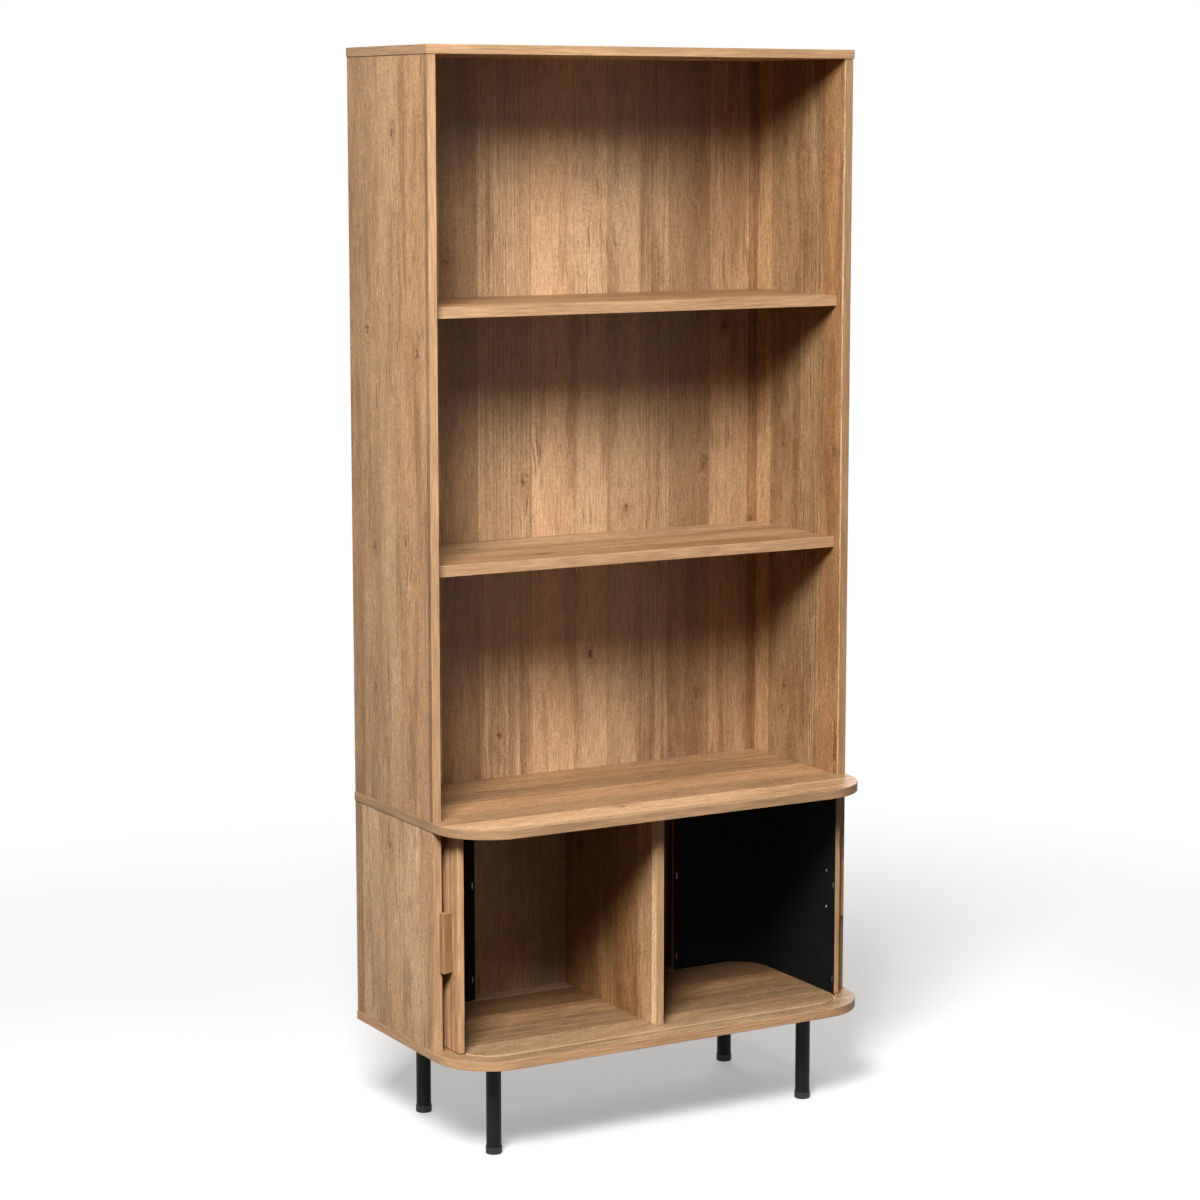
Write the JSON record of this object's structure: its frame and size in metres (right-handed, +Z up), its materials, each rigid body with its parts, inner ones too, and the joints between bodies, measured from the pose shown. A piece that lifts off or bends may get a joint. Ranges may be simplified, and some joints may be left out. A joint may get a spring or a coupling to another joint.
{
  "type": "bookcase with sliding slatted cabinet doors",
  "caption": "Tall open bookcase on a wider low cabinet with round front corners, slatted doors that slide round the corners, and straight tube legs.",
  "frame": {"origin": "on the floor under the middle of the cabinet's outline", "axes": "+X to the right seen from the front, +Y to the back, +Z up"},
  "size_m": [0.8, 0.395, 1.791],
  "materials": {
    "oak_board": "oak foil on particle board, satin",
    "oak_slat": "oak veneer, satin",
    "leg_steel": "black powder coat, matt",
    "door_backing": "black woven cloth, matt",
    "screw_steel": "zinc plated",
    "back_of_hardboard": "bare hardboard",
    "foot_plastic": "black moulded plastic"
  },
  "bodies": {
    "case": {"bottom_board": "oak_board", "cabinet_top_board": "oak_board", "lower_left_side": "oak_board", "lower_right_side": "oak_board", "lower_back_panel": "oak_board", "divider": "oak_board", "top_board": "oak_board", "upper_left_side": "oak_board", "upper_right_side": "oak_board", "upper_back_panel": "oak_board", "shelf_1": "oak_board", "shelf_2": "oak_board", "leg_front_left": "leg_steel", "foot_cap_front_left": "foot_plastic", "leg_front_right": "leg_steel", "foot_cap_front_right": "foot_plastic", "leg_back_left": "leg_steel", "foot_cap_back_left": "foot_plastic", "leg_back_right": "leg_steel", "foot_cap_back_right": "foot_plastic"},
    "left_slats_8_14": {"left_slats_8_14": "oak_slat"},
    "left_slat_7": {"left_slat_7": "oak_slat"},
    "left_slat_6": {"left_slat_6": "oak_slat"},
    "left_slat_5": {"left_slat_5": "oak_slat"},
    "left_slat_4": {"left_slat_4": "oak_slat"},
    "left_slat_3": {"left_slat_3": "oak_slat"},
    "left_slats_1_2": {"left_slats_1_2": "oak_slat", "left_handle": "oak_slat"},
    "left_slat_15": {"left_slat_15": "oak_slat"},
    "left_slat_16": {"left_slat_16": "oak_slat"},
    "left_slat_17": {"left_slat_17": "oak_slat"},
    "left_slat_18": {"left_slat_18": "oak_slat"},
    "left_slat_19": {"left_slat_19": "oak_slat"},
    "left_slat_20": {"left_slat_20": "oak_slat"},
    "left_slat_21": {"left_slat_21": "oak_slat"},
    "left_slat_22": {"left_slat_22": "oak_slat"},
    "left_slat_23": {"left_slat_23": "oak_slat"},
    "left_slat_24": {"left_slat_24": "oak_slat"},
    "left_slat_25": {"left_slat_25": "oak_slat"},
    "left_slat_26": {"left_slat_26": "oak_slat"},
    "right_slats_8_14": {"right_slats_8_14": "oak_slat"},
    "right_slat_7": {"right_slat_7": "oak_slat"},
    "right_slat_6": {"right_slat_6": "oak_slat"},
    "right_slat_5": {"right_slat_5": "oak_slat"},
    "right_slat_4": {"right_slat_4": "oak_slat"},
    "right_slat_3": {"right_slat_3": "oak_slat"},
    "right_slats_1_2": {"right_slats_1_2": "oak_slat", "right_handle": "oak_slat"},
    "right_slat_15": {"right_slat_15": "oak_slat"},
    "right_slat_16": {"right_slat_16": "oak_slat"},
    "right_slat_17": {"right_slat_17": "oak_slat"},
    "right_slat_18": {"right_slat_18": "oak_slat"},
    "right_slat_19": {"right_slat_19": "oak_slat"},
    "right_slat_20": {"right_slat_20": "oak_slat"},
    "right_slat_21": {"right_slat_21": "oak_slat"},
    "right_slat_22": {"right_slat_22": "oak_slat"},
    "right_slat_23": {"right_slat_23": "oak_slat"},
    "right_slat_24": {"right_slat_24": "oak_slat"},
    "right_slat_25": {"right_slat_25": "oak_slat"},
    "right_slat_26": {"right_slat_26": "oak_slat"}
  },
  "joints": [
    {"name": "left_door_slide", "type": "slide", "parent": "case", "child": "left_slats_8_14", "axis": [0, -1, 0], "range_m": [0, 0.09321]},
    {"name": "left_front_bend_1", "type": "hinge", "parent": "left_slats_8_14", "child": "left_slat_7", "pos_m": [-0.359, -0.01206, 0.36], "axis": [0, 0, 1], "range_deg": [0, 15]},
    {"name": "left_front_bend_2", "type": "hinge", "parent": "left_slat_7", "child": "left_slat_6", "pos_m": [-0.359, -0.02759, 0.36], "axis": [0, 0, 1], "range_deg": [0, 15]},
    {"name": "left_front_bend_3", "type": "hinge", "parent": "left_slat_6", "child": "left_slat_5", "pos_m": [-0.359, -0.04313, 0.36], "axis": [0, 0, 1], "range_deg": [0, 15]},
    {"name": "left_front_bend_4", "type": "hinge", "parent": "left_slat_5", "child": "left_slat_4", "pos_m": [-0.359, -0.05866, 0.36], "axis": [0, 0, 1], "range_deg": [0, 15]},
    {"name": "left_front_bend_5", "type": "hinge", "parent": "left_slat_4", "child": "left_slat_3", "pos_m": [-0.359, -0.0742, 0.36], "axis": [0, 0, 1], "range_deg": [0, 15]},
    {"name": "left_front_bend_6", "type": "hinge", "parent": "left_slat_3", "child": "left_slats_1_2", "pos_m": [-0.359, -0.08973, 0.36], "axis": [0, 0, 1], "range_deg": [0, 15]},
    {"name": "left_rear_bend_1", "type": "hinge", "parent": "left_slats_8_14", "child": "left_slat_15", "pos_m": [-0.359, 0.09669, 0.36], "axis": [0, 0, 1], "range_deg": [0, 15]},
    {"name": "left_rear_bend_2", "type": "hinge", "parent": "left_slat_15", "child": "left_slat_16", "pos_m": [-0.35498, 0.11169, 0.36], "axis": [0, 0, 1], "range_deg": [0, 15]},
    {"name": "left_rear_bend_3", "type": "hinge", "parent": "left_slat_16", "child": "left_slat_17", "pos_m": [-0.34721, 0.12515, 0.36], "axis": [0, 0, 1], "range_deg": [0, 15]},
    {"name": "left_rear_bend_4", "type": "hinge", "parent": "left_slat_17", "child": "left_slat_18", "pos_m": [-0.33623, 0.13613, 0.36], "axis": [0, 0, 1], "range_deg": [0, 15]},
    {"name": "left_rear_bend_5", "type": "hinge", "parent": "left_slat_18", "child": "left_slat_19", "pos_m": [-0.32277, 0.1439, 0.36], "axis": [0, 0, 1], "range_deg": [0, 15]},
    {"name": "left_rear_bend_6", "type": "hinge", "parent": "left_slat_19", "child": "left_slat_20", "pos_m": [-0.30777, 0.14792, 0.36], "axis": [0, 0, 1], "range_deg": [0, 15]},
    {"name": "left_rear_bend_7", "type": "hinge", "parent": "left_slat_20", "child": "left_slat_21", "pos_m": [-0.29223, 0.14792, 0.36], "axis": [0, 0, -1], "range_deg": [0, 15]},
    {"name": "left_rear_bend_8", "type": "hinge", "parent": "left_slat_21", "child": "left_slat_22", "pos_m": [-0.2767, 0.14792, 0.36], "axis": [0, 0, -1], "range_deg": [0, 15]},
    {"name": "left_rear_bend_9", "type": "hinge", "parent": "left_slat_22", "child": "left_slat_23", "pos_m": [-0.26116, 0.14792, 0.36], "axis": [0, 0, -1], "range_deg": [0, 15]},
    {"name": "left_rear_bend_10", "type": "hinge", "parent": "left_slat_23", "child": "left_slat_24", "pos_m": [-0.24563, 0.14792, 0.36], "axis": [0, 0, -1], "range_deg": [0, 15]},
    {"name": "left_rear_bend_11", "type": "hinge", "parent": "left_slat_24", "child": "left_slat_25", "pos_m": [-0.23009, 0.14792, 0.36], "axis": [0, 0, -1], "range_deg": [0, 15]},
    {"name": "left_rear_bend_12", "type": "hinge", "parent": "left_slat_25", "child": "left_slat_26", "pos_m": [-0.21456, 0.14792, 0.36], "axis": [0, 0, -1], "range_deg": [0, 15]},
    {"name": "right_door_slide", "type": "slide", "parent": "case", "child": "right_slats_8_14", "axis": [0, -1, 0], "range_m": [0, 0.09321]},
    {"name": "right_front_bend_1", "type": "hinge", "parent": "right_slats_8_14", "child": "right_slat_7", "pos_m": [0.359, -0.01206, 0.36], "axis": [0, 0, -1], "range_deg": [0, 15]},
    {"name": "right_front_bend_2", "type": "hinge", "parent": "right_slat_7", "child": "right_slat_6", "pos_m": [0.359, -0.02759, 0.36], "axis": [0, 0, -1], "range_deg": [0, 15]},
    {"name": "right_front_bend_3", "type": "hinge", "parent": "right_slat_6", "child": "right_slat_5", "pos_m": [0.359, -0.04313, 0.36], "axis": [0, 0, -1], "range_deg": [0, 15]},
    {"name": "right_front_bend_4", "type": "hinge", "parent": "right_slat_5", "child": "right_slat_4", "pos_m": [0.359, -0.05866, 0.36], "axis": [0, 0, -1], "range_deg": [0, 15]},
    {"name": "right_front_bend_5", "type": "hinge", "parent": "right_slat_4", "child": "right_slat_3", "pos_m": [0.359, -0.0742, 0.36], "axis": [0, 0, -1], "range_deg": [0, 15]},
    {"name": "right_front_bend_6", "type": "hinge", "parent": "right_slat_3", "child": "right_slats_1_2", "pos_m": [0.359, -0.08973, 0.36], "axis": [0, 0, -1], "range_deg": [0, 15]},
    {"name": "right_rear_bend_1", "type": "hinge", "parent": "right_slats_8_14", "child": "right_slat_15", "pos_m": [0.359, 0.09669, 0.36], "axis": [0, 0, -1], "range_deg": [0, 15]},
    {"name": "right_rear_bend_2", "type": "hinge", "parent": "right_slat_15", "child": "right_slat_16", "pos_m": [0.35498, 0.11169, 0.36], "axis": [0, 0, -1], "range_deg": [0, 15]},
    {"name": "right_rear_bend_3", "type": "hinge", "parent": "right_slat_16", "child": "right_slat_17", "pos_m": [0.34721, 0.12515, 0.36], "axis": [0, 0, -1], "range_deg": [0, 15]},
    {"name": "right_rear_bend_4", "type": "hinge", "parent": "right_slat_17", "child": "right_slat_18", "pos_m": [0.33623, 0.13613, 0.36], "axis": [0, 0, -1], "range_deg": [0, 15]},
    {"name": "right_rear_bend_5", "type": "hinge", "parent": "right_slat_18", "child": "right_slat_19", "pos_m": [0.32277, 0.1439, 0.36], "axis": [0, 0, -1], "range_deg": [0, 15]},
    {"name": "right_rear_bend_6", "type": "hinge", "parent": "right_slat_19", "child": "right_slat_20", "pos_m": [0.30777, 0.14792, 0.36], "axis": [0, 0, -1], "range_deg": [0, 15]},
    {"name": "right_rear_bend_7", "type": "hinge", "parent": "right_slat_20", "child": "right_slat_21", "pos_m": [0.29223, 0.14792, 0.36], "axis": [0, 0, 1], "range_deg": [0, 15]},
    {"name": "right_rear_bend_8", "type": "hinge", "parent": "right_slat_21", "child": "right_slat_22", "pos_m": [0.2767, 0.14792, 0.36], "axis": [0, 0, 1], "range_deg": [0, 15]},
    {"name": "right_rear_bend_9", "type": "hinge", "parent": "right_slat_22", "child": "right_slat_23", "pos_m": [0.26116, 0.14792, 0.36], "axis": [0, 0, 1], "range_deg": [0, 15]},
    {"name": "right_rear_bend_10", "type": "hinge", "parent": "right_slat_23", "child": "right_slat_24", "pos_m": [0.24563, 0.14792, 0.36], "axis": [0, 0, 1], "range_deg": [0, 15]},
    {"name": "right_rear_bend_11", "type": "hinge", "parent": "right_slat_24", "child": "right_slat_25", "pos_m": [0.23009, 0.14792, 0.36], "axis": [0, 0, 1], "range_deg": [0, 15]},
    {"name": "right_rear_bend_12", "type": "hinge", "parent": "right_slat_25", "child": "right_slat_26", "pos_m": [0.21456, 0.14792, 0.36], "axis": [0, 0, 1], "range_deg": [0, 15]}
  ],
  "couplings": [
    {"joint": "left_front_bend_1", "follows": "left_door_slide", "rad_per_m": 2.8087},
    {"joint": "left_front_bend_2", "follows": "left_door_slide", "rad_per_m": 2.8087},
    {"joint": "left_front_bend_3", "follows": "left_door_slide", "rad_per_m": 2.8087},
    {"joint": "left_front_bend_4", "follows": "left_door_slide", "rad_per_m": 2.8087},
    {"joint": "left_front_bend_5", "follows": "left_door_slide", "rad_per_m": 2.8087},
    {"joint": "left_front_bend_6", "follows": "left_door_slide", "rad_per_m": 2.8087},
    {"joint": "left_rear_bend_1", "follows": "left_door_slide", "rad_per_m": 2.8087},
    {"joint": "left_rear_bend_2", "follows": "left_door_slide", "rad_per_m": 2.8087},
    {"joint": "left_rear_bend_3", "follows": "left_door_slide", "rad_per_m": 2.8087},
    {"joint": "left_rear_bend_4", "follows": "left_door_slide", "rad_per_m": 2.8087},
    {"joint": "left_rear_bend_5", "follows": "left_door_slide", "rad_per_m": 2.8087},
    {"joint": "left_rear_bend_6", "follows": "left_door_slide", "rad_per_m": 2.8087},
    {"joint": "left_rear_bend_7", "follows": "left_door_slide", "rad_per_m": 2.8087},
    {"joint": "left_rear_bend_8", "follows": "left_door_slide", "rad_per_m": 2.8087},
    {"joint": "left_rear_bend_9", "follows": "left_door_slide", "rad_per_m": 2.8087},
    {"joint": "left_rear_bend_10", "follows": "left_door_slide", "rad_per_m": 2.8087},
    {"joint": "left_rear_bend_11", "follows": "left_door_slide", "rad_per_m": 2.8087},
    {"joint": "left_rear_bend_12", "follows": "left_door_slide", "rad_per_m": 2.8087},
    {"joint": "right_front_bend_1", "follows": "right_door_slide", "rad_per_m": 2.8087},
    {"joint": "right_front_bend_2", "follows": "right_door_slide", "rad_per_m": 2.8087},
    {"joint": "right_front_bend_3", "follows": "right_door_slide", "rad_per_m": 2.8087},
    {"joint": "right_front_bend_4", "follows": "right_door_slide", "rad_per_m": 2.8087},
    {"joint": "right_front_bend_5", "follows": "right_door_slide", "rad_per_m": 2.8087},
    {"joint": "right_front_bend_6", "follows": "right_door_slide", "rad_per_m": 2.8087},
    {"joint": "right_rear_bend_1", "follows": "right_door_slide", "rad_per_m": 2.8087},
    {"joint": "right_rear_bend_2", "follows": "right_door_slide", "rad_per_m": 2.8087},
    {"joint": "right_rear_bend_3", "follows": "right_door_slide", "rad_per_m": 2.8087},
    {"joint": "right_rear_bend_4", "follows": "right_door_slide", "rad_per_m": 2.8087},
    {"joint": "right_rear_bend_5", "follows": "right_door_slide", "rad_per_m": 2.8087},
    {"joint": "right_rear_bend_6", "follows": "right_door_slide", "rad_per_m": 2.8087},
    {"joint": "right_rear_bend_7", "follows": "right_door_slide", "rad_per_m": 2.8087},
    {"joint": "right_rear_bend_8", "follows": "right_door_slide", "rad_per_m": 2.8087},
    {"joint": "right_rear_bend_9", "follows": "right_door_slide", "rad_per_m": 2.8087},
    {"joint": "right_rear_bend_10", "follows": "right_door_slide", "rad_per_m": 2.8087},
    {"joint": "right_rear_bend_11", "follows": "right_door_slide", "rad_per_m": 2.8087},
    {"joint": "right_rear_bend_12", "follows": "right_door_slide", "rad_per_m": 2.8087}
  ]
}
